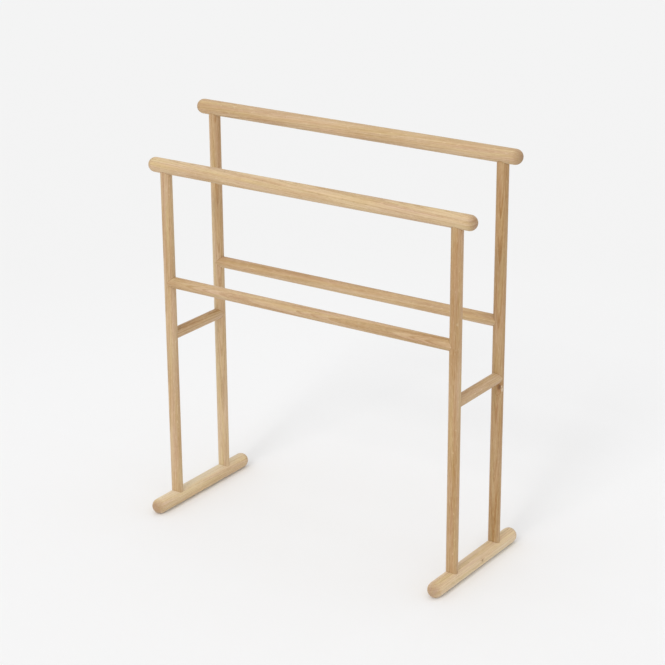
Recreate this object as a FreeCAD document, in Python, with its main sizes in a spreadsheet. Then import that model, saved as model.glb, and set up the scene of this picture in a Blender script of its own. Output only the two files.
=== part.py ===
import FreeCAD, Part
import os
from math import pi
import Sketcher

# Freestanding towel stand of round oak bars, glued up with hidden dowel pins.
# Millimetres, +Z up, the front towards -Y, the origin on the floor under the middle.
# Every bar is modelled along its own Z axis and then placed in the stand.

SIZES = [
    ("post_spacing_x", 714, "between the post axes, left to right"),
    ("post_spacing_y", 171, "between the post axes, front to rear"),
    ("post_diameter", 25, "upright bars"),
    ("top_rail_diameter", 32, "the two rails that towels hang over"),
    ("mid_rail_diameter", 24.8, "rungs from left post to right post"),
    ("cross_rail_diameter", 24.8, "rungs from front post to rear post"),
    ("foot_diameter", 34, "bars that lie on the floor"),
    ("foot_flat_depth", 0.8, "how deep the underside of a foot is planed flat"),
    ("front_rail_height", 777, "axis of the front top rail above the floor"),
    ("rear_rail_height", 868, "axis of the rear top rail above the floor"),
    ("mid_rail_height", 521, "axes of the mid rails above the floor"),
    ("cross_rail_height", 400, "axes of the cross rails above the floor"),
    ("top_rail_overhang", 43, "from a post axis to the tip of a top rail"),
    ("foot_overhang", 80, "from a post axis to the tip of a foot"),
    ("glue_line", 0.1, "gap between a coped end and the bar it fits round"),
    ("pin_diameter", 8, "loose dowel pins inside the joints"),
    ("pin_chamfer", 1, "bevel at both ends of a pin"),
    ("pin_bore_clearance", 0.1, "gap round a pin in its bore, on the radius"),
    ("pin_end_gap", 1, "room for glue past each end of a pin"),
    ("end_pin_depth", 20, "pin length inside the end of a post or rung"),
    ("thick_pin_depth", 16, "pin length inside the side of a top rail or foot"),
    ("post_pin_depth", 11, "pin length inside the side of a post"),
]

SIDES = [("left", -1), ("right", 1)]
FACES = [("front", -1), ("rear", 1)]

# Rotations that lay a bar's own Z axis along the stand's axes
UPRIGHT = FreeCAD.Rotation()
ALONG_X = FreeCAD.Rotation(FreeCAD.Vector(0, 1, 0), 90)
ALONG_Y = FreeCAD.Rotation(FreeCAD.Vector(1, 0, 0), -90)

# Lengths that several pieces share, as expressions of the driving sizes
FOOT_AXIS = "(Sizes.foot_diameter / 2 - Sizes.foot_flat_depth)"
POST_SEAT = "(Sizes.post_diameter / 2 + Sizes.glue_line)"
RAIL_SEAT = "(Sizes.top_rail_diameter / 2 + Sizes.glue_line)"
FOOT_SEAT = "(Sizes.foot_diameter / 2 + Sizes.glue_line)"
BORE_RADIUS = "(Sizes.pin_diameter / 2 + Sizes.pin_bore_clearance)"
END_BORE_DEPTH = "(Sizes.end_pin_depth + Sizes.pin_end_gap)"
THICK_BORE_DEPTH = "(Sizes.thick_pin_depth + Sizes.pin_end_gap)"
POST_BORE_DEPTH = "(Sizes.post_pin_depth + Sizes.pin_end_gap)"
RAIL_HEIGHTS = {"front": "Sizes.front_rail_height", "rear": "Sizes.rear_rail_height"}

doc = FreeCAD.newDocument("towel_stand")
sheet = doc.addObject("Spreadsheet::Sheet", "Sizes")
for row, (alias, value, meaning) in enumerate(SIZES, start=1):
    sheet.set(f"A{row}", meaning)
    sheet.set(f"B{row}", str(value))
    sheet.setAlias(f"B{row}", alias)
doc.recompute()

bars = []


def new_bar(label, rotation, x, y, z):
    """An empty body with its own Z axis turned to lie in the stand."""
    body = doc.addObject("PartDesign::Body", label)
    body.Label = label
    body.Placement.Rotation = rotation
    body.setExpression("Placement.Base.x", x)
    body.setExpression("Placement.Base.y", y)
    body.setExpression("Placement.Base.z", z)
    bars.append(body)
    return body


def new_sketch(body, name, plane, offset="0"):
    """A sketch on one of the body's own origin planes, moved along its normal."""
    sketch = body.newObject("Sketcher::SketchObject", f"{body.Label}_{name}")
    support = next(f for f in body.Origin.OriginFeatures if f.Role == plane)
    sketch.AttachmentSupport = (support, [""])
    sketch.MapMode = "FlatFace"
    sketch.setExpression("AttachmentOffset.Base.z", offset)
    return sketch


def constrain(sketch, expression, *constraint):
    """A dimension in the sketch, bound to the sizes."""
    value = float(sketch.evalExpression(expression))
    index = sketch.addConstraint(Sketcher.Constraint(*constraint, value))
    sketch.setExpression(f"Constraints[{index}]", expression)


def draw_circle(sketch, radius, height=None):
    """A circle at the sketch's origin, or on its vertical axis at a height."""
    circle = sketch.addGeometry(Part.Circle(FreeCAD.Vector(0, 1, 0), FreeCAD.Vector(0, 0, 1), 1))
    if height is None:
        sketch.addConstraint(Sketcher.Constraint("Coincident", circle, 3, -1, 1))
    else:
        sketch.addConstraint(Sketcher.Constraint("PointOnObject", circle, 3, -2))
        constrain(sketch, height, "DistanceY", -1, 1, circle, 3)
    constrain(sketch, radius, "Radius", circle)


def draw_rectangle(sketch, width, height):
    """A rectangle that stands on the sketch's origin, centred on its vertical axis."""
    corners = [FreeCAD.Vector(x, y, 0) for x, y in ((-1, 0), (1, 0), (1, 5), (-1, 5))]
    sides = [Part.LineSegment(corners[i - 1], corners[i]) for i in range(4)]
    left, base, right, top = sketch.addGeometry(sides)
    for side, following in ((left, base), (base, right), (right, top), (top, left)):
        sketch.addConstraint(Sketcher.Constraint("Coincident", side, 2, following, 1))
    for line, direction in ((base, "Horizontal"), (top, "Horizontal"), (left, "Vertical"), (right, "Vertical")):
        sketch.addConstraint(Sketcher.Constraint(direction, line))
    sketch.addConstraint(Sketcher.Constraint("Symmetric", base, 1, base, 2, -1, 1))
    constrain(sketch, width, "DistanceX", base, 1, base, 2)
    constrain(sketch, height, "DistanceY", right, 1, right, 2)


def round_bar(body, diameter, length):
    """A plain cylinder from the body's origin up its Z axis."""
    sketch = new_sketch(body, "section", "XY_Plane")
    draw_circle(sketch, f"{diameter} / 2")
    pad = body.newObject("PartDesign::Pad", f"{body.Label}_bar")
    pad.Profile = sketch
    pad.setExpression("Length", length)


def domed_bar(body, diameter, length):
    """A bar from tip to tip along its Z axis, both ends rounded to half balls."""
    sketch = new_sketch(body, "half_profile", "XZ_Plane")
    radius = float(sketch.evalExpression(diameter)) / 2
    tip = float(sketch.evalExpression(length))
    point = FreeCAD.Vector
    outline = [
        Part.ArcOfCircle(Part.Circle(point(0, radius, 0), point(0, 0, 1), radius), -pi / 2, 0),
        Part.LineSegment(point(radius, radius, 0), point(radius, tip - radius, 0)),
        Part.ArcOfCircle(Part.Circle(point(0, tip - radius, 0), point(0, 0, 1), radius), 0, pi / 2),
        Part.LineSegment(point(0, tip, 0), point(0, 0, 0)),
    ]
    bottom, side, top, axis = sketch.addGeometry(outline)
    for constraint in (
        ("Coincident", bottom, 1, -1, 1),
        ("Tangent", bottom, 2, side, 1),
        ("Tangent", side, 2, top, 1),
        ("Coincident", top, 2, axis, 1),
        ("Coincident", axis, 2, bottom, 1),
        ("PointOnObject", bottom, 3, -2),
        ("PointOnObject", top, 3, -2),
        ("Vertical", side),
        ("Vertical", axis),
    ):
        sketch.addConstraint(Sketcher.Constraint(*constraint))
    constrain(sketch, f"{diameter} / 2", "Radius", bottom)
    constrain(sketch, length, "DistanceY", -1, 1, top, 2)
    turned = body.newObject("PartDesign::Revolution", f"{body.Label}_bar")
    turned.Profile = sketch
    turned.ReferenceAxis = (sketch, ["V_Axis"])
    turned.Angle = 360


def pocket(body, name, sketch, reversed_cut=False, both_ways=False):
    """Cut a sketch right through one side of the bar, or through both."""
    cut = body.newObject("PartDesign::Pocket", f"{body.Label}_{name}")
    cut.Profile = sketch
    cut.Type = "ThroughAll"
    cut.Midplane = both_ways
    cut.Reversed = reversed_cut


def cope(body, name, plane, radius, height):
    """Hollow an end of the bar to fit round a bar that crosses it."""
    sketch = new_sketch(body, name, plane)
    draw_circle(sketch, radius, height)
    pocket(body, name, sketch, both_ways=True)


def end_bore(body, name, bore_floor, opens_up):
    """A pin bore along the bar's axis, from its floor out through one end."""
    sketch = new_sketch(body, name, "XY_Plane", bore_floor)
    draw_circle(sketch, BORE_RADIUS)
    pocket(body, name, sketch, reversed_cut=opens_up)


def side_bore(body, name, direction, diameter, depth, height):
    """A pin bore across the bar, drilled to a depth from one side."""
    # The sketch planes' normals: YZ_Plane looks along +X and XZ_Plane along -Y
    plane, normal_sign = {
        "+X": ("YZ_Plane", 1),
        "-X": ("YZ_Plane", -1),
        "+Y": ("XZ_Plane", -1),
        "-Y": ("XZ_Plane", 1),
    }[direction]
    bore_floor = f"{normal_sign} * ({diameter} / 2 - {depth})"
    sketch = new_sketch(body, name, plane, bore_floor)
    draw_circle(sketch, BORE_RADIUS, height)
    pocket(body, name, sketch, reversed_cut=normal_sign > 0)


def make_top_rail(face, y_sign):
    """A thick rail across the tops of two posts, bored from below for their pins."""
    rail = new_bar(
        f"{face}_top_rail",
        ALONG_X,
        "-(Sizes.post_spacing_x / 2 + Sizes.top_rail_overhang)",
        f"{y_sign} * Sizes.post_spacing_y / 2",
        RAIL_HEIGHTS[face],
    )
    domed_bar(rail, "Sizes.top_rail_diameter", "Sizes.post_spacing_x + 2 * Sizes.top_rail_overhang")
    for side, past_first in (("left", "0"), ("right", "Sizes.post_spacing_x")):
        height = f"Sizes.top_rail_overhang + {past_first}"
        side_bore(rail, f"{side}_bore", "+X", "Sizes.top_rail_diameter", THICK_BORE_DEPTH, height)


def make_foot(side, x_sign):
    """A thick bar on the floor under two posts, flat below and bored from above."""
    foot = new_bar(
        f"{side}_foot",
        ALONG_Y,
        f"{x_sign} * Sizes.post_spacing_x / 2",
        "-(Sizes.post_spacing_y / 2 + Sizes.foot_overhang)",
        FOOT_AXIS,
    )
    length = "Sizes.post_spacing_y + 2 * Sizes.foot_overhang"
    domed_bar(foot, "Sizes.foot_diameter", length)
    for face, past_first in (("front", "0"), ("rear", "Sizes.post_spacing_y")):
        height = f"Sizes.foot_overhang + {past_first}"
        side_bore(foot, f"{face}_bore", "-Y", "Sizes.foot_diameter", THICK_BORE_DEPTH, height)
    # The floor side of the bar is its own +Y side
    sketch = new_sketch(foot, "flat", "XZ_Plane", f"-{FOOT_AXIS}")
    draw_rectangle(sketch, "Sizes.foot_diameter", length)
    pocket(foot, "flat", sketch)


def make_post(face, y_sign, side, x_sign):
    """An upright bar, coped over its foot and under its top rail."""
    post = new_bar(
        f"{face}_{side}_post",
        UPRIGHT,
        f"{x_sign} * Sizes.post_spacing_x / 2",
        f"{y_sign} * Sizes.post_spacing_y / 2",
        FOOT_AXIS,
    )
    top = f"({RAIL_HEIGHTS[face]} - {FOOT_AXIS})"
    round_bar(post, "Sizes.post_diameter", top)
    cope(post, "top_cope", "YZ_Plane", RAIL_SEAT, top)
    cope(post, "foot_cope", "XZ_Plane", FOOT_SEAT, "0")
    end_bore(post, "top_bore", f"{top} - {RAIL_SEAT} - {END_BORE_DEPTH}", opens_up=True)
    end_bore(post, "foot_bore", f"{FOOT_SEAT} + {END_BORE_DEPTH}", opens_up=False)
    towards_middle_x = "+X" if x_sign < 0 else "-X"
    towards_middle_y = "+Y" if y_sign < 0 else "-Y"
    for name, direction, rung_height in (
        ("mid_rail_bore", towards_middle_x, "Sizes.mid_rail_height"),
        ("cross_rail_bore", towards_middle_y, "Sizes.cross_rail_height"),
    ):
        height = f"{rung_height} - {FOOT_AXIS}"
        side_bore(post, name, direction, "Sizes.post_diameter", POST_BORE_DEPTH, height)


def make_rung(label, rotation, x, y, z, diameter, length, cope_plane, end_names):
    """A bar between two posts, coped round both and bored along its axis."""
    rung = new_bar(label, rotation, x, y, z)
    round_bar(rung, diameter, length)
    first, second = end_names
    cope(rung, f"{first}_cope", cope_plane, POST_SEAT, "0")
    cope(rung, f"{second}_cope", cope_plane, POST_SEAT, length)
    end_bore(rung, f"{first}_bore", f"{POST_SEAT} + {END_BORE_DEPTH}", opens_up=False)
    end_bore(rung, f"{second}_bore", f"{length} - {POST_SEAT} - {END_BORE_DEPTH}", opens_up=True)


def make_pin(label, rotation, x, y, z, side_depth):
    """A loose dowel pin, centred on its joint's seat less half of the glue line."""
    pin = new_bar(label, rotation, x, y, z)
    round_bar(pin, "Sizes.pin_diameter", f"{side_depth} + Sizes.glue_line + Sizes.end_pin_depth")
    bar = pin.Tip
    doc.recompute()
    ends = [f"Edge{i}" for i, e in enumerate(bar.Shape.Edges, start=1) if isinstance(e.Curve, Part.Circle)]
    bevel = pin.newObject("PartDesign::Chamfer", f"{label}_bevel")
    bevel.Base = (bar, ends)
    bevel.setExpression("Size", "Sizes.pin_chamfer")


for face, y_sign in FACES:
    make_top_rail(face, y_sign)
    make_rung(
        f"{face}_mid_rail",
        ALONG_X,
        "-Sizes.post_spacing_x / 2",
        f"{y_sign} * Sizes.post_spacing_y / 2",
        "Sizes.mid_rail_height",
        "Sizes.mid_rail_diameter",
        "Sizes.post_spacing_x",
        "YZ_Plane",
        ("left", "right"),
    )
    for side, x_sign in SIDES:
        make_post(face, y_sign, side, x_sign)

for side, x_sign in SIDES:
    make_foot(side, x_sign)
    make_rung(
        f"{side}_cross_rail",
        ALONG_Y,
        f"{x_sign} * Sizes.post_spacing_x / 2",
        "-Sizes.post_spacing_y / 2",
        "Sizes.cross_rail_height",
        "Sizes.cross_rail_diameter",
        "Sizes.post_spacing_y",
        "XZ_Plane",
        ("front", "rear"),
    )

# Pins: the vertical ones start inside the lower bar, the level ones inside the left or front bar
for face, y_sign in FACES:
    for side, x_sign in SIDES:
        x = f"{x_sign} * Sizes.post_spacing_x / 2"
        y = f"{y_sign} * Sizes.post_spacing_y / 2"
        post_end = f"({RAIL_HEIGHTS[face]} - {RAIL_SEAT} - Sizes.end_pin_depth)"
        foot_end = f"({FOOT_AXIS} + Sizes.foot_diameter / 2 - Sizes.thick_pin_depth)"
        label = f"{face}_{side}_post"
        make_pin(f"{label}_top_pin", UPRIGHT, x, y, post_end, "Sizes.thick_pin_depth")
        make_pin(f"{label}_foot_pin", UPRIGHT, x, y, foot_end, "Sizes.thick_pin_depth")

        # A pin's start is this far from the post's axis, towards the middle of the stand
        in_post = "(Sizes.post_diameter / 2 - Sizes.post_pin_depth)"
        in_rung = f"({POST_SEAT} + Sizes.end_pin_depth)"
        start_x = f"{x} + {in_post}" if x_sign < 0 else f"{x} - {in_rung}"
        start_y = f"{y} + {in_post}" if y_sign < 0 else f"{y} - {in_rung}"
        mid, cross = "Sizes.mid_rail_height", "Sizes.cross_rail_height"
        make_pin(f"{face}_mid_rail_{side}_pin", ALONG_X, start_x, y, mid, "Sizes.post_pin_depth")
        make_pin(f"{side}_cross_rail_{face}_pin", ALONG_Y, x, start_y, cross, "Sizes.post_pin_depth")

doc.recompute()

for item in doc.Objects:
    if "Invalid" in item.State or "Error" in item.State:
        raise RuntimeError(f"{item.Label} failed to recompute: {item.State}")
    if item.TypeId == "PartDesign::Pocket":
        removed = item.BaseFeature.Shape.Volume - item.Shape.Volume
        if removed <= 0:
            raise RuntimeError(f"{item.Label} cuts nothing")
for bar in bars:
    if bar.Shape.isNull() or not bar.Shape.isValid() or len(bar.Shape.Solids) != 1:
        raise RuntimeError(f"{bar.Label} is not one valid solid")

os.makedirs("parts", exist_ok=True)
for bar in bars:
    bar.Shape.exportStep(f"parts/{bar.Label}.step")
print(f"{len(bars)} pieces written")
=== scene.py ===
import math
import random
from collections import namedtuple

import bpy
from mathutils import Euler, Matrix, Vector


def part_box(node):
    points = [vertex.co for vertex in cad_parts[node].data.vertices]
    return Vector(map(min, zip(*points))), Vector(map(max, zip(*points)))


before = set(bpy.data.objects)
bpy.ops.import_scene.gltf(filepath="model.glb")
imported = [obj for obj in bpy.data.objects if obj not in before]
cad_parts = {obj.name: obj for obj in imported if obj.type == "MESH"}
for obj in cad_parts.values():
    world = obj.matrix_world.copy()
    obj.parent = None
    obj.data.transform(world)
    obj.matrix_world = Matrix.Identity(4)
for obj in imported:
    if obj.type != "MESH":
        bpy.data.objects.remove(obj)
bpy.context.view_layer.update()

# ---------------------------------------------------------------------------------------------
# Camera, light and floor: sizes in metres, and angles in degrees
# ---------------------------------------------------------------------------------------------

CAMERA_AIM = Vector((-0.012, 0.027, 0.440))
CAMERA_AZIMUTH = 34.48
CAMERA_ELEVATION = 20.18
CAMERA_ROLL = -0.36
CAMERA_DISTANCE = 4.160
CAMERA_LENS_MM = 106.6

# Each lamp: the azimuth and elevation it shines from, how wide it looks, and its strength.
LAMPS = {
    "key_lamp": (5.0, 38.0, 17.0, 0.80),
    "top_lamp": (-20.0, 80.0, 80.0, 0.25),
}
ROOM_LIGHT = 0.79
WHITE = (1.0, 1.0, 1.0, 1.0)

# The floor gets a little greyer away from the stand, a painted shade as of light falling off across a
# backdrop, and turns into the background further out.
BACKGROUND = (0.905, 0.905, 0.905, 1.0)
FLOOR_COLOUR = (0.908, 0.910, 0.914, 1.0)
FLOOR_PAINTED_SHADE = (0.880, 0.880, 0.880, 1.0)
FLOOR_RADIUS = 30.0
FLOOR_CORNERS = 96
FLOOR_DROP = 0.0002
PAINTED_SHADE_START = 0.6
PAINTED_SHADE_FULL = 2.2
FADE_START = 3.0
FADE_END = 7.0

# ---------------------------------------------------------------------------------------------
# The bars: which way each one runs, and what its wood is like
# ---------------------------------------------------------------------------------------------

METRES_TO_MM = 1000.0

# Turns that bring a bar's own direction onto the trunk's, which is Z.
TURN_TO_TRUNK = {
    "X": Euler((0.0, math.radians(-90.0), 0.0)),
    "Y": Euler((math.radians(90.0), 0.0, 0.0)),
    "Z": Euler((0.0, 0.0, 0.0)),
}

# A bar's wood: the way the bar runs; how deep its tone is (0 pale straw, 1 amber, under 0 sapwood) and
# how much deeper it gets per metre along X, Y and Z, a painted gradient of light and shade that makes the
# sides and parts of a bar paler or deeper as the light falls on them; the turn in degrees about the bar's
# own axis that brings the flat-sawn side, with its tall arches, where the photograph shows it; the tone of
# its ends; and the number of the stretch of trunk that it was cut from.
Wood = namedtuple("Wood", "direction tone slope turn end_tone stretch")

EVEN = (0.0, 0.0, 0.0)
BARS = {
    "front_top_rail": Wood("X", 0.31, EVEN, 170.0, 0.37, 23),
    "rear_top_rail": Wood("X", 0.46, EVEN, 30.0, 0.46, 25),
    "front_mid_rail": Wood("X", 0.52, EVEN, 105.0, 0.52, 2),
    "rear_mid_rail": Wood("X", 0.50, (0.0, 0.0, 12.0), 20.0, 0.55, 3),
    "left_cross_rail": Wood("Y", 0.57, (0.0, 0.0, 14.0), 60.0, 0.63, 4),
    "right_cross_rail": Wood("Y", 0.54, EVEN, 110.0, 0.54, 5),
    # left_foot: its tone under 0 and its slope along X make its -X side pale sapwood: painted light, as from
    # a lamp on the left.
    "left_foot": Wood("Y", -0.37, (36.0, 0.0, 0.0), 120.0, 0.36, 20),
    # right_foot: paler towards its -X side and its underside: painted light and shade.
    "right_foot": Wood("Y", -0.08, (8.0, 0.0, 16.0), 110.0, 0.25, 7),
    "front_left_post": Wood("Z", 0.49, EVEN, 115.0, 0.49, 26),
    # front_right_post and rear_right_post: their deeper tones are partly the wood's own and partly painted
    # shade, for the weaker light on the right.
    "front_right_post": Wood("Z", 0.65, (-3.0, 0.0, 0.05), 145.0, 0.65, 9),
    # rear_left_post: paler on its -X side, painted light from the left, and a little paler lower down.
    "rear_left_post": Wood("Z", 0.30, (20.0, 0.0, 0.45), 45.0, 0.45, 10),
    "rear_right_post": Wood("Z", 0.72, (-3.0, 0.0, 0.0), 70.0, 0.72, 11),
}

# Where in the trunk a bar comes from: its distance from the heart line and its start along it in
# millimetres, and how many degrees it leans against it. The bars' places are drawn between these.
Cut = namedtuple("Cut", "heart_distance lean start")

HEART_DISTANCES = (75.0, 150.0)
LEANS = (0.5, 1.6)
STARTS = (0.0, 5000.0)

# The pins are cut one after another from a trunk of their own. They are hidden in their bores.
PIN_TONE = 0.3
PIN_END_TONE = 0.0
PIN_TURN = 40.0
PIN_HEART_DISTANCE = 60.0
PIN_LEAN = 1.0
PIN_SPACING = 90.0

# Small knots, and pale flecks beside them: the bar, the way out from its axis to the mark, the mark's
# place along the bar in metres, its radius in millimetres, how much longer than wide it is, and how
# strong its colour is.
Mark = namedtuple("Mark", "bar way_out along radius longer strength")

KNOTS = (
    Mark("rear_right_post", (0.740, -0.673, 0.0), 0.3825, 3.2, 1.8, 0.80),
    Mark("right_foot", (0.990, 0.0, 0.139), 0.0100, 2.8, 1.2, 0.50),
)
PALE_FLECKS = (
    Mark("rear_right_post", (0.951, -0.309, 0.0), 0.3830, 1.6, 1.2, 1.0),
    Mark("rear_right_post", (0.978, -0.208, 0.0), 0.3755, 2.2, 1.7, 1.0),
)
KNOT_BROWN = (0.170, 0.085, 0.040, 1.0)
FLECK_PALE = (0.680, 0.540, 0.380, 1.0)

# In a mark's own radii: how far it is at its full strength, where a knot's and a fleck's colours end, and
# where a knot's push on the rings ends.
MARK_CORE = 0.5
KNOT_REACH = 1.3
FLECK_REACH = 1.8
KNOT_PUSH_REACH = 4.0

# How far a knot pushes the rings aside, in its own radii, and how much deeper it makes the tone.
KNOT_PUSH = 1.6
KNOT_TONE = 0.35

# Every joint: the bar whose end is coped, and the bar it is glued to.
JOINTS = tuple(
    (f"{row}_{side}_post", partner)
    for row in ("front", "rear")
    for side in ("left", "right")
    for partner in (f"{row}_top_rail", f"{side}_foot")
) + tuple(
    (rail, f"{row}_{side}_post")
    for row in ("front", "rear")
    for side in ("left", "right")
    for rail in (f"{row}_mid_rail", f"{side}_cross_rail")
)

# How far from the joint's line the dark line of a joint is at its full strength, and where it ends, in
# metres: partly a glue line, and partly painted shade in the crease where the two bars meet. The least
# slant is the smallest sine of the angle between two bars' surfaces that its width reckons with.
SEAM_CORE = 0.00012
SEAM_EDGE = 0.00044
SEAM_GLUE_AND_SHADE_TINT = (0.740, 0.670, 0.600, 1.0)
LEAST_SLANT = 0.02

# ---------------------------------------------------------------------------------------------
# Oak, as a solid block of trunk in millimetres, with its heart along Z
# ---------------------------------------------------------------------------------------------

PALE_OAK = (0.735, 0.565, 0.350, 1.0)
AMBER_OAK = (0.365, 0.185, 0.060, 1.0)
SAPWOOD = (0.780, 0.670, 0.500, 1.0)
PORE_BROWN = (0.270, 0.165, 0.085, 1.0)
RAY_PALE = (0.780, 0.610, 0.420, 1.0)
END_GRAIN_TINT = (0.700, 0.635, 0.640, 1.0)

# A face is full end grain where its normal follows the bar at least this closely (a cosine).
END_GRAIN_FACING = 0.95

# How often each pattern changes per millimetre, twice across the trunk and once along it.
DRIFT_SCALE = (0.020, 0.020, 0.0045)
VESSEL_SCALE = (1.9, 1.9, 0.11)
FIBRE_SCALE = (0.85, 0.85, 0.012)
DASH_SCALE = (0.55, 0.55, 0.060)
STREAK_SCALE = (0.22, 0.22, 0.0040)
CLOUD_SCALE = (0.035, 0.035, 0.0060)
ROSY_SCALE = (0.14, 0.14, 0.0090)
HONEY_SCALE = (0.12, 0.12, 0.0070)

# The rings' usual width and how far they wander, in millimetres; then how often their width changes per
# millimetre, and by how many years that puts them out.
RING_WIDTH = 2.3
WANDER = 1.8
YEAR_CHANGES = 0.16
YEAR_SPREAD = 3.0

# The early wood, in shares of a year: it has come in by EARLY_START, and gives way between EARLY_THINS
# and EARLY_END.
EARLY_START = 0.06
EARLY_THINS = 0.20
EARLY_END = 0.46

# A vessel's radius, in cells of its pattern: in the late wood, how much more in the early wood, and how
# far its darkness fades inside and outside its edge.
VESSEL_RADIUS = 0.16
EARLY_VESSEL_GROWTH = 0.22
VESSEL_FADE = (-0.12, 0.02)

# The rays: how many changes per radian round the heart, and per millimetre outwards and along the
# trunk; then the noise where a ray begins to show, and where it is full.
RAYS_ROUND = 190.0
RAYS_OUTWARDS = 0.16
RAYS_ALONG = 0.085
RAY_STARTS = 0.63
RAY_FULL = 0.72

# How far each pattern takes the tone, from its palest to its deepest. The early wood is deeper than the
# late wood by EARLY_TONE, and the late wood lies LATE_TONE off the bar's own tone.
STREAK_TONE = 0.42
CLOUD_TONE = 0.50
DASH_TONE = 0.50
FIBRE_TONE = 0.50
EARLY_TONE = 0.19
LATE_TONE = -0.05

# How fast sapwood comes in where the tone is under 0, and the most there is of it; then how strongly
# rays and vessels colour the wood.
SAPWOOD_RISE = -2.5
SAPWOOD_MOST = 0.6
RAY_COLOUR = 0.32
VESSEL_COLOUR = 0.42

# How far the green and the blue of the wood stray over its rosier and its more honey-coloured parts.
HUE_SPAN_GREEN = 0.17
HUE_SPAN_BLUE = 0.42

# Rays are smoother than the wood round them, and vessels and end grain rougher.
ROUGHNESS = 0.50
FIBRE_ROUGHNESS = 0.12
VESSEL_ROUGHNESS = 0.16
END_ROUGHNESS = 0.08
RAY_ROUGHNESS = -0.12

# Heights in millimetres: open vessels, the early wood a little low, and fine fibres.
VESSEL_HEIGHT = -0.05
EARLY_HEIGHT = -0.012
FIBRE_HEIGHT = 0.02

OAK_SHADER = {
    "IOR": 1.5,
    "Specular IOR Level": 0.28,
    "Sheen Weight": 0.15,
    "Sheen Roughness": 0.40,
    "Sheen Tint": (1.0, 0.99, 0.97, 1.0),
}

# ---------------------------------------------------------------------------------------------
# Building node trees
# ---------------------------------------------------------------------------------------------


def add_node(tree, kind, feeds=None, **settings):
    """A new node with its settings, its inputs fed by a socket or set to a plain value."""
    node = tree.nodes.new(kind)
    for name, value in settings.items():
        setattr(node, name, value)
    for name, value in (feeds or {}).items():
        socket = node.inputs[name]
        if isinstance(value, bpy.types.NodeSocket):
            tree.links.new(value, socket)
        else:
            socket.default_value = value
    return node


def math_node(tree, operation, *values, clamp=False):
    """The result of one sum, with sockets or numbers as its values."""
    feeds = dict(enumerate(values))
    return add_node(tree, "ShaderNodeMath", feeds, operation=operation, use_clamp=clamp).outputs[0]


def add_up(tree, total, *others):
    """All the values added up."""
    for other in others:
        total = math_node(tree, "ADD", total, other)
    return total


def vector_math(tree, operation, *values):
    """The result of one sum with vectors: a number for a length or a dot product, and else a vector."""
    feeds = dict(enumerate(values))
    outputs = add_node(tree, "ShaderNodeVectorMath", feeds, operation=operation).outputs
    return outputs["Value" if operation in ("LENGTH", "DOT_PRODUCT") else "Vector"]


def smooth_step(tree, value, low, high, to_low=0.0, to_high=1.0):
    """value taken smoothly from to_low at low to to_high at high."""
    feeds = {"Value": value, "From Min": low, "From Max": high, "To Min": to_low, "To Max": to_high}
    return add_node(tree, "ShaderNodeMapRange", feeds, interpolation_type="SMOOTHSTEP").outputs[0]


def noise(tree, point, scale, detail=2.0, roughness=0.5):
    """Noise between 0 and 1 that changes over 1 / scale millimetres in each direction."""
    feeds = {
        "Vector": vector_math(tree, "MULTIPLY", point, scale),
        "Scale": 1.0,
        "Detail": detail,
        "Roughness": roughness,
    }
    return add_node(tree, "ShaderNodeTexNoise", feeds).outputs["Fac"]


def mix_numbers(tree, share, first, second):
    """first and second mixed by share."""
    return add_node(tree, "ShaderNodeMix", {0: share, 2: first, 3: second}).outputs[0]


def mix_colours(tree, share, first, second, blend_type="MIX"):
    """The colours first and second mixed by share."""
    feeds = {0: share, 6: first, 7: second}
    return add_node(tree, "ShaderNodeMix", feeds, data_type="RGBA", blend_type=blend_type).outputs[2]


def new_material(name):
    """An empty material with a node tree and its output."""
    material = bpy.data.materials.new(name)
    material.use_nodes = True
    material.node_tree.nodes.clear()
    return material, add_node(material.node_tree, "ShaderNodeOutputMaterial").inputs["Surface"]


# ---------------------------------------------------------------------------------------------
# The patterns of oak
# ---------------------------------------------------------------------------------------------


def bend_trunk(tree, point):
    """The point with the trunk's wandering put in: its rings aren't straight over the length of a bar."""
    feeds = {"Vector": vector_math(tree, "MULTIPLY", point, DRIFT_SCALE), "Scale": 1.0, "Detail": 2.0}
    drift = add_node(tree, "ShaderNodeTexNoise", feeds).outputs["Color"]
    centred = vector_math(tree, "SUBTRACT", drift, (0.5, 0.5, 0.5))
    shift = vector_math(tree, "MULTIPLY", centred, (2 * WANDER,) * 3)
    return vector_math(tree, "ADD", point, shift)


def early_wood(tree, from_heart):
    """1 in the open early wood of each ring and 0 in its dense late wood. The rings' widths differ."""
    feeds = {"W": from_heart, "Scale": YEAR_CHANGES, "Detail": 1.0}
    year_noise = add_node(tree, "ShaderNodeTexNoise", feeds, noise_dimensions="1D").outputs["Fac"]
    put_out = math_node(tree, "MULTIPLY", year_noise, YEAR_SPREAD)
    years = math_node(tree, "MULTIPLY_ADD", from_heart, 1.0 / RING_WIDTH, put_out)
    season = math_node(tree, "FRACT", years)
    begins = smooth_step(tree, season, 0.0, EARLY_START)
    ends = smooth_step(tree, season, EARLY_THINS, EARLY_END, 1.0, 0.0)
    return math_node(tree, "MULTIPLY", begins, ends)


def vessels(tree, bent, early):
    """Short dark dashes along the grain, crowded in the early wood: the open vessels and their shade."""
    feeds = {"Vector": vector_math(tree, "MULTIPLY", bent, VESSEL_SCALE), "Scale": 1.0, "Randomness": 1.0}
    cells = add_node(tree, "ShaderNodeTexVoronoi", feeds, voronoi_dimensions="3D", feature="F1")
    from_middle = cells.outputs["Distance"]
    radius = math_node(tree, "MULTIPLY_ADD", early, EARLY_VESSEL_GROWTH, VESSEL_RADIUS)
    vessel = math_node(tree, "LESS_THAN", from_middle, radius)
    off_edge = math_node(tree, "SUBTRACT", from_middle, radius)
    return vessel, smooth_step(tree, off_edge, *VESSEL_FADE, 1.0, 0.0)


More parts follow.
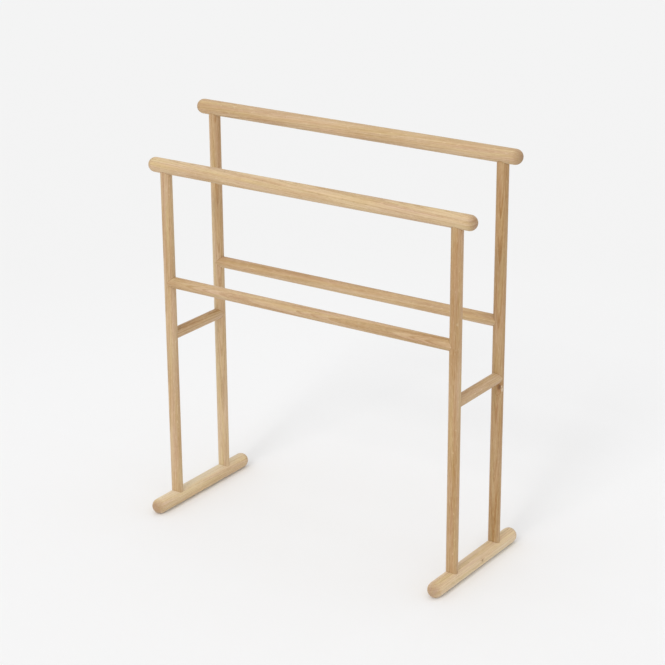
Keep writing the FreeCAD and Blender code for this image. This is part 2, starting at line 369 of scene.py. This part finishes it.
def rays(tree, bent, from_heart):
    """Sheets that run out from the heart: flecks on a quarter-sawn side, fine lines on a flat-sawn one."""
    parts = add_node(tree, "ShaderNodeSeparateXYZ", {0: bent}).outputs
    turn = math_node(tree, "ARCTAN2", parts["Y"], parts["X"])
    feeds = {
        "X": math_node(tree, "MULTIPLY", turn, RAYS_ROUND),
        "Y": math_node(tree, "MULTIPLY", from_heart, RAYS_OUTWARDS),
        "Z": math_node(tree, "MULTIPLY", parts["Z"], RAYS_ALONG),
    }
    ray_point = add_node(tree, "ShaderNodeCombineXYZ", feeds).outputs[0]
    feeds = {"Vector": ray_point, "Scale": 1.0, "Detail": 1.0}
    ray_noise = add_node(tree, "ShaderNodeTexNoise", feeds).outputs["Fac"]
    return smooth_step(tree, ray_noise, RAY_STARTS, RAY_FULL)


def oak_patterns(tree, point):
    """All that varies in the wood at a point of the trunk, each from 0 to 1."""
    bent = bend_trunk(tree, point)
    from_heart = vector_math(tree, "LENGTH", vector_math(tree, "MULTIPLY", bent, (1.0, 1.0, 0.0)))
    early = early_wood(tree, from_heart)
    vessel, vessel_shade = vessels(tree, bent, early)
    return {
        "early": early,
        "vessel": vessel,
        "vessel_shade": vessel_shade,
        "ray": rays(tree, bent, from_heart),
        "fibre": noise(tree, bent, FIBRE_SCALE, detail=4.0, roughness=0.6),
        "dash": noise(tree, bent, DASH_SCALE),
        "streak": noise(tree, bent, STREAK_SCALE),
        "cloud": noise(tree, point, CLOUD_SCALE, detail=1.0),
        "rosy": noise(tree, bent, ROSY_SCALE),
        "honey": noise(tree, bent, HONEY_SCALE),
    }


# ---------------------------------------------------------------------------------------------
# The oak itself: its colour, roughness and height
# ---------------------------------------------------------------------------------------------


def swing(tree, pattern, span, middle=0.0):
    """A pattern from 0 to 1, turned into one that swings by span about middle."""
    return math_node(tree, "MULTIPLY_ADD", pattern, span, middle - span / 2)


def tone_depth(tree, patterns, tone):
    """How deep the wood's tone is at a point, with all its patterns."""
    return add_up(
        tree,
        tone,
        swing(tree, patterns["streak"], STREAK_TONE),
        swing(tree, patterns["cloud"], CLOUD_TONE),
        math_node(tree, "MULTIPLY_ADD", patterns["early"], EARLY_TONE, LATE_TONE),
        swing(tree, patterns["dash"], DASH_TONE),
        swing(tree, patterns["fibre"], FIBRE_TONE),
    )


def oak_colour(tree, patterns, tone, end):
    """The wood's colour, from pale to amber or to sapwood, with its rays, vessels, hues and end grain."""
    depth = tone_depth(tree, patterns, tone)
    amber = math_node(tree, "ADD", depth, 0.0, clamp=True)
    wood = mix_colours(tree, amber, PALE_OAK, AMBER_OAK)
    sapwood = math_node(tree, "MULTIPLY", depth, SAPWOOD_RISE, clamp=True)
    wood = mix_colours(tree, math_node(tree, "MINIMUM", sapwood, SAPWOOD_MOST), wood, SAPWOOD)
    wood = mix_colours(tree, math_node(tree, "MULTIPLY", patterns["ray"], RAY_COLOUR), wood, RAY_PALE)
    shade = math_node(tree, "MULTIPLY", patterns["vessel_shade"], VESSEL_COLOUR)
    wood = mix_colours(tree, shade, wood, PORE_BROWN)
    feeds = {
        "Red": 1.0,
        "Green": swing(tree, patterns["rosy"], HUE_SPAN_GREEN, 1.0),
        "Blue": swing(tree, patterns["honey"], HUE_SPAN_BLUE, 1.0),
    }
    hue = add_node(tree, "ShaderNodeCombineColor", feeds).outputs[0]
    wood = mix_colours(tree, 1.0, wood, hue, "MULTIPLY")
    return mix_colours(tree, end, wood, END_GRAIN_TINT, "MULTIPLY")


def oak_roughness(tree, patterns, end):
    """The wood's roughness."""
    return add_up(
        tree,
        math_node(tree, "MULTIPLY_ADD", patterns["fibre"], FIBRE_ROUGHNESS, ROUGHNESS),
        math_node(tree, "MULTIPLY", patterns["vessel_shade"], VESSEL_ROUGHNESS),
        math_node(tree, "MULTIPLY", end, END_ROUGHNESS),
        math_node(tree, "MULTIPLY", patterns["ray"], RAY_ROUGHNESS),
    )


def oak_height(tree, patterns):
    """The fine relief of the wood in millimetres."""
    return add_up(
        tree,
        math_node(tree, "MULTIPLY", patterns["vessel"], VESSEL_HEIGHT),
        math_node(tree, "MULTIPLY", patterns["early"], EARLY_HEIGHT),
        math_node(tree, "MULTIPLY", patterns["fibre"], FIBRE_HEIGHT),
    )


def oak_group():
    """The node group that turns a point of the trunk into oak's colour, roughness and height."""
    tree = bpy.data.node_groups.new("oak_wood", "ShaderNodeTree")
    for in_out, name, kind in (
        ("INPUT", "Point", "Vector"), ("INPUT", "Tone", "Float"), ("INPUT", "End", "Float"),
        ("OUTPUT", "Color", "Color"), ("OUTPUT", "Roughness", "Float"), ("OUTPUT", "Height", "Float"),
    ):
        tree.interface.new_socket(name=name, in_out=in_out, socket_type="NodeSocket" + kind)
    source = tree.nodes.new("NodeGroupInput").outputs
    result = tree.nodes.new("NodeGroupOutput").inputs
    patterns = oak_patterns(tree, source["Point"])
    tree.links.new(oak_colour(tree, patterns, source["Tone"], source["End"]), result["Color"])
    tree.links.new(oak_roughness(tree, patterns, source["End"]), result["Roughness"])
    tree.links.new(oak_height(tree, patterns), result["Height"])
    return tree


# ---------------------------------------------------------------------------------------------
# One bar's material
# ---------------------------------------------------------------------------------------------

# A mark where it lies in the stand: its place and radius in metres, the scale that makes it round, and
# how strong it is.
Spot = namedtuple("Spot", "place radius to_round strength")

# A dark joint line on a bar, partly glue and partly painted shade in the crease: the other bar's middle, the
# two directions across it and its radius, and the middle and the direction that say on which side of this
# bar the other one stands.
Seam = namedtuple("Seam", "middle across radius side_middle side_way")


def near_spot(tree, place, spot, reach):
    """A spot's strength in its core, and 0 from reach times its radius on."""
    off_middle = vector_math(tree, "SUBTRACT", place, spot.place)
    away = vector_math(tree, "LENGTH", vector_math(tree, "MULTIPLY", off_middle, spot.to_round))
    return smooth_step(tree, away, spot.radius * MARK_CORE, spot.radius * reach, spot.strength, 0.0)


def glue_and_shade_share(tree, place, normal, seam):
    """1 on the line where the other bar's surface cuts this bar's, and 0 beside it."""
    flat = vector_math(tree, "MULTIPLY", vector_math(tree, "SUBTRACT", place, seam.middle), seam.across)
    from_axis = vector_math(tree, "LENGTH", flat)
    off_surface = math_node(tree, "ABSOLUTE", math_node(tree, "SUBTRACT", from_axis, seam.radius))

    # Where the two surfaces nearly touch along each other, they part slowly: that spread is taken out.
    alike = vector_math(tree, "DOT_PRODUCT", vector_math(tree, "NORMALIZE", flat), normal)
    slant = math_node(tree, "SQRT", math_node(tree, "SUBTRACT", 1.0, math_node(tree, "POWER", alike, 2.0)))
    off_line = math_node(tree, "DIVIDE", off_surface, math_node(tree, "MAXIMUM", slant, LEAST_SLANT))
    share = smooth_step(tree, off_line, SEAM_CORE, SEAM_EDGE, 1.0, 0.0)

    # The other bar's far side, and this bar's side away from it, have no seam.
    off_side = vector_math(tree, "SUBTRACT", place, seam.side_middle)
    beyond = vector_math(tree, "DOT_PRODUCT", off_side, seam.side_way)
    return math_node(tree, "MULTIPLY", share, math_node(tree, "GREATER_THAN", beyond, 0.0))


def unit_along(direction):
    """The unit vector along X, Y or Z."""
    return Vector([1.0 if letter == direction else 0.0 for letter in "XYZ"])


def trunk_point(tree, place, wood, middle, cut):
    """From a place in the stand, in metres, to the bar's place in the trunk, in millimetres."""
    lean = Euler((0.0, math.radians(cut.lean), 0.0)).to_matrix()
    spin = Euler((0.0, 0.0, math.radians(wood.turn))).to_matrix()
    rotation = lean @ spin @ TURN_TO_TRUNK[wood.direction].to_matrix()
    offset = Vector((cut.heart_distance, 0.0, cut.start)) - rotation @ (middle * METRES_TO_MM)
    feeds = {
        "Vector": place,
        "Location": offset,
        "Rotation": rotation.to_euler(),
        "Scale": (METRES_TO_MM,) * 3,
    }
    return add_node(tree, "ShaderNodeMapping", feeds, vector_type="POINT").outputs[0]


def end_share(tree, normal, direction):
    """1 where a bar's surface cuts across the grain, as on its domed ends, and 0 along its sides."""
    facing = vector_math(tree, "DOT_PRODUCT", normal, unit_along(direction))
    return math_node(tree, "DIVIDE", math_node(tree, "ABSOLUTE", facing), END_GRAIN_FACING, clamp=True)


def tone_at(tree, place, end, wood, middle):
    """A bar's tone, which runs from paler to deeper across or along it as painted light and shade, and has
    its own value on the ends.
    """
    off_middle = vector_math(tree, "SUBTRACT", place, middle)
    # Painted light and shade: the tone runs paler or deeper across or along the bar.
    deeper = vector_math(tree, "DOT_PRODUCT", off_middle, wood.slope)
    tone_with_painted_light = math_node(tree, "ADD", deeper, wood.tone)
    return mix_numbers(tree, end, tone_with_painted_light, wood.end_tone)


def oak_material(name, group, wood, middle, cut, knots=(), flecks=(), seams=()):
    """The oak of one bar or pin, with the knots and flecks on it, and the dark lines at its joints: partly
    glue, partly painted shade.
    """
    material, surface = new_material(name)
    tree = material.node_tree
    outputs = add_node(tree, "ShaderNodeTexCoord").outputs
    place, normal = outputs["Object"], outputs["Normal"]
    point = trunk_point(tree, place, wood, middle, cut)
    end = end_share(tree, normal, wood.direction)
    tone = tone_at(tree, place, end, wood, middle)

    # The rings bulge round a knot, and the wood there is deeper in tone.
    for knot in knots:
        near = near_spot(tree, place, knot, KNOT_PUSH_REACH)
        push = math_node(tree, "MULTIPLY", near, KNOT_PUSH * knot.radius * METRES_TO_MM)
        bulge = add_node(tree, "ShaderNodeCombineXYZ", {"X": push}).outputs[0]
        point = vector_math(tree, "ADD", point, bulge)
        tone = math_node(tree, "MULTIPLY_ADD", near, KNOT_TONE, tone)

    feeds = {"Point": point, "Tone": tone, "End": end}
    oak = add_node(tree, "ShaderNodeGroup", feeds, node_tree=group).outputs
    colour = oak["Color"]
    for fleck in flecks:
        colour = mix_colours(tree, near_spot(tree, place, fleck, FLECK_REACH), colour, FLECK_PALE)
    for knot in knots:
        colour = mix_colours(tree, near_spot(tree, place, knot, KNOT_REACH), colour, KNOT_BROWN)
    # Dark lines at the joints: partly glue, partly painted shade in the creases.
    for seam in seams:
        colour = mix_colours(tree, glue_and_shade_share(tree, place, normal, seam), colour, SEAM_GLUE_AND_SHADE_TINT, "MULTIPLY")

    feeds = {"Height": oak["Height"], "Strength": 1.0, "Distance": 1.0 / METRES_TO_MM}
    bump = add_node(tree, "ShaderNodeBump", feeds).outputs[0]
    feeds = {"Base Color": colour, "Roughness": oak["Roughness"], "Normal": bump, **OAK_SHADER}
    shader = add_node(tree, "ShaderNodeBsdfPrincipled", feeds).outputs[0]
    tree.links.new(shader, surface)
    return material


# ---------------------------------------------------------------------------------------------
# Dressing the stand
# ---------------------------------------------------------------------------------------------


def dress(node_name, material):
    """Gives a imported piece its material."""
    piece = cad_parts[node_name]
    for slot in piece.material_slots:
        slot.material = material


def middle_of(node_name):
    """The middle of a piece's box."""
    low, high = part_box(node_name)
    return (low + high) / 2


def spots_on(node_name, direction, marks):
    """The marks on a bar, where they lie in the stand."""
    low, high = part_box(node_name)
    spots = []
    for mark in marks:
        if mark.bar != node_name:
            continue
        place = (low + high) / 2
        place["XYZ".index(direction)] = mark.along
        place += Vector(mark.way_out) * min(high - low) / 2
        to_round = Vector((1.0, 1.0, 1.0)) - unit_along(direction) * (1.0 - 1.0 / mark.longer)
        spots.append(Spot(place, mark.radius / METRES_TO_MM, to_round, mark.strength))
    return spots


def seams_on(node_name):
    """The lines on a bar where others are glued to it, or it to them."""
    seams = []
    middle = middle_of(node_name)
    for coped, partner in JOINTS:
        if node_name not in (coped, partner):
            continue
        other = coped if partner == node_name else partner
        other_middle = middle_of(other)
        low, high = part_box(other)
        across = Vector((1.0, 1.0, 1.0)) - unit_along(BARS[other].direction)
        # The two meet in the direction of the coped bar, on the side where the other one is.
        coped_way = unit_along(BARS[coped].direction)
        towards = coped_way * math.copysign(1.0, coped_way.dot(other_middle - middle))
        seams.append(Seam(other_middle, across, min(high - low) / 2, middle, towards))
    return seams


def dress_bars(group):
    """Oak on every bar, each from its own place in the trunk."""
    for name, wood in BARS.items():
        draw = random.Random(wood.stretch)
        heart_distance = draw.uniform(*HEART_DISTANCES)
        lean = draw.uniform(*LEANS)
        start = draw.uniform(*STARTS)
        cut = Cut(heart_distance, lean, start)
        knots = spots_on(name, wood.direction, KNOTS)
        flecks = spots_on(name, wood.direction, PALE_FLECKS)
        seams = seams_on(name)
        dress(name, oak_material("oak_" + name, group, wood, middle_of(name), cut, knots, flecks, seams))


def dress_pins(group):
    """Oak on every pin, along its longest side."""
    for number, name in enumerate(sorted(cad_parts)):
        if not name.endswith("_pin"):
            continue
        low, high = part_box(name)
        size = high - low
        direction = "XYZ"[max(range(3), key=lambda i: size[i])]
        wood = Wood(direction, PIN_TONE, EVEN, PIN_TURN * number, PIN_END_TONE, None)
        cut = Cut(PIN_HEART_DISTANCE + number, PIN_LEAN, PIN_SPACING * number)
        dress(name, oak_material("oak_" + name, group, wood, middle_of(name), cut))


def dress_stand():
    """Oak on every bar and pin."""
    group = oak_group()
    dress_bars(group)
    dress_pins(group)


# ---------------------------------------------------------------------------------------------
# Floor, lamps and camera
# ---------------------------------------------------------------------------------------------


def background_strength(tree):
    """1 for rays from the camera and for reflections and clear views of the background, 0 for light."""
    path = add_node(tree, "ShaderNodeLightPath").outputs
    seen = math_node(tree, "MAXIMUM", path["Is Camera Ray"], path["Is Glossy Ray"])
    return math_node(tree, "MAXIMUM", seen, path["Is Transmission Ray"])


def make_room():
    """An even pale light from all round, and the background's tone where the camera sees past the floor."""
    world = bpy.data.worlds.new("room")
    bpy.context.scene.world = world
    world.use_nodes = True
    tree = world.node_tree
    tree.nodes.clear()
    light = add_node(tree, "ShaderNodeBackground", {"Color": WHITE, "Strength": ROOM_LIGHT})
    seen = add_node(tree, "ShaderNodeBackground", {"Color": BACKGROUND, "Strength": 1.0})
    feeds = {0: background_strength(tree), 1: light.outputs[0], 2: seen.outputs[0]}
    mixed = add_node(tree, "ShaderNodeMixShader", feeds)
    add_node(tree, "ShaderNodeOutputWorld", {"Surface": mixed.outputs[0]})


def make_floor():
    """A round pale floor that keeps the stand's shadow near it, gets greyer with painted shade away from it,
    and fades into the background further out.
    """
    bpy.ops.mesh.primitive_circle_add(
        vertices=FLOOR_CORNERS, radius=FLOOR_RADIUS, fill_type="NGON", location=(0.0, 0.0, -FLOOR_DROP)
    )
    floor = bpy.context.object
    floor.name = "floor"
    material, surface = new_material("pale_floor")
    tree = material.node_tree
    place = add_node(tree, "ShaderNodeTexCoord").outputs["Object"]
    away = vector_math(tree, "LENGTH", place)
    # Painted shade: the floor greys away from the stand.
    painted_shade = smooth_step(tree, away, PAINTED_SHADE_START, PAINTED_SHADE_FULL)
    colour = mix_colours(tree, painted_shade, FLOOR_COLOUR, FLOOR_PAINTED_SHADE)
    matt = add_node(tree, "ShaderNodeBsdfDiffuse", {"Color": colour})
    plain = add_node(tree, "ShaderNodeEmission", {"Color": BACKGROUND, "Strength": 1.0})
    fade = smooth_step(tree, away, FADE_START, FADE_END)
    fade_seen = math_node(tree, "MULTIPLY", fade, background_strength(tree))
    feeds = {0: fade_seen, 1: matt.outputs[0], 2: plain.outputs[0]}
    mixed = add_node(tree, "ShaderNodeMixShader", feeds)
    tree.links.new(mixed.outputs[0], surface)
    floor.data.materials.append(material)


def from_angles(azimuth, elevation):
    """The way towards an azimuth and elevation: azimuth 0 is the front, and 90 the right."""
    turn, rise = math.radians(azimuth), math.radians(elevation)
    return Vector((math.sin(turn) * math.cos(rise), -math.cos(turn) * math.cos(rise), math.sin(rise)))


def make_lamps():
    """Wide, even studio lamps, far enough away to light the whole floor alike."""
    for name, (azimuth, elevation, spread, strength) in LAMPS.items():
        data = bpy.data.lights.new(name, "SUN")
        data.angle = math.radians(spread)
        data.energy = strength
        lamp = bpy.data.objects.new(name, data)
        lamp.rotation_euler = from_angles(azimuth, elevation).to_track_quat("Z", "Y").to_euler()
        bpy.context.scene.collection.objects.link(lamp)


def make_camera():
    """The photograph's view: from the front right and a little above."""
    back = from_angles(CAMERA_AZIMUTH, CAMERA_ELEVATION)
    data = bpy.data.cameras.new("camera")
    data.lens = CAMERA_LENS_MM
    camera = bpy.data.objects.new("camera", data)
    level = (-back).to_track_quat("-Z", "Y").to_matrix()
    turned = level @ Matrix.Rotation(math.radians(CAMERA_ROLL), 3, "Z")
    camera.matrix_world = Matrix.Translation(CAMERA_AIM + back * CAMERA_DISTANCE) @ turned.to_4x4()
    bpy.context.scene.collection.objects.link(camera)
    bpy.context.scene.camera = camera


bpy.context.scene.view_settings.view_transform = "Standard"
make_camera()
make_room()
make_floor()
make_lamps()
dress_stand()
